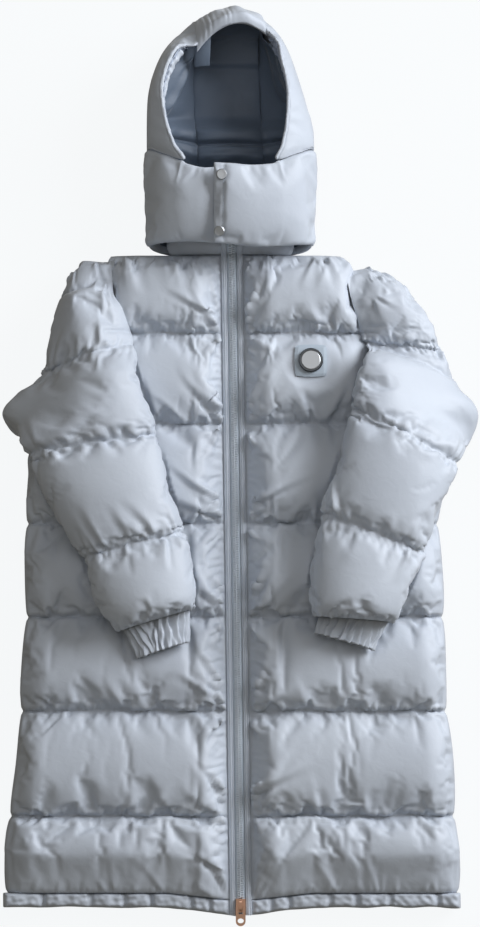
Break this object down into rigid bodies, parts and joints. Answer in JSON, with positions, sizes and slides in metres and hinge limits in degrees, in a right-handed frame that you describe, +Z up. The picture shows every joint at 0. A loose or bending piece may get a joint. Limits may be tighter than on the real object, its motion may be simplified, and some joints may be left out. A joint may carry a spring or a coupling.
{
  "type": "long quilted puffer coat",
  "caption": "Long quilted puffer coat with a padded hood and zip front, laid flat on its back with the sleeves folded over the front.",
  "frame": {"origin": "on the surface that the coat lies on, under the middle of the whole coat", "axes": "+X towards the wearer's left, +Y from the hem to the hood, +Z up from the surface"},
  "size_m": [0.6847, 1.3281, 0.146],
  "materials": {
    "shell_fabric": "light blue-grey nylon with a satin sheen",
    "lining_fabric": "smooth blue-grey lining",
    "zip_tape": "woven tape",
    "zip_teeth": "moulded teeth",
    "rose_gold_metal": "polished rose gold plate",
    "badge_patch": "soft matt rubber",
    "badge_rim": "dark gunmetal",
    "press_stud_metal": "blank satin metal"
  },
  "bodies": {
    "coat": {"back_panel": "shell_fabric", "hem_back": "shell_fabric", "front_right": "shell_fabric", "front_left": "shell_fabric", "hem_right": "shell_fabric", "hem_left": "shell_fabric", "sleeve_right": "shell_fabric", "sleeve_left": "shell_fabric", "cuff_right": "shell_fabric", "cuff_left": "shell_fabric", "collar_back": "shell_fabric", "collar_right": "shell_fabric", "collar_left": "shell_fabric", "hood_crown": "shell_fabric", "hood_side_right": "shell_fabric", "hood_side_left": "shell_fabric", "hood_facing_right": "shell_fabric", "hood_facing_left": "shell_fabric", "hood_lining_crown": "lining_fabric", "hood_lining_right": "lining_fabric", "hood_lining_left": "lining_fabric", "chin_flap_right": "shell_fabric", "chin_flap_left": "shell_fabric", "zip_tape_right": "zip_tape", "zip_tape_left": "zip_tape", "zip_chain": "zip_teeth", "placket_right": "shell_fabric", "placket_left": "shell_fabric", "slider_bottom": "rose_gold_metal", "badge_patch": "badge_patch", "badge_rim": "badge_rim", "badge_disc": "press_stud_metal", "stud_upper": "press_stud_metal", "stud_lower": "press_stud_metal"},
    "pull": {"pull_tab": "rose_gold_metal"}
  },
  "joints": [
    {"name": "pull_swing", "type": "hinge", "parent": "coat", "child": "pull", "pos_m": [0.00096, -0.64, 0.03864], "axis": [-1, 0, 0], "range_deg": [0, 150]}
  ]
}
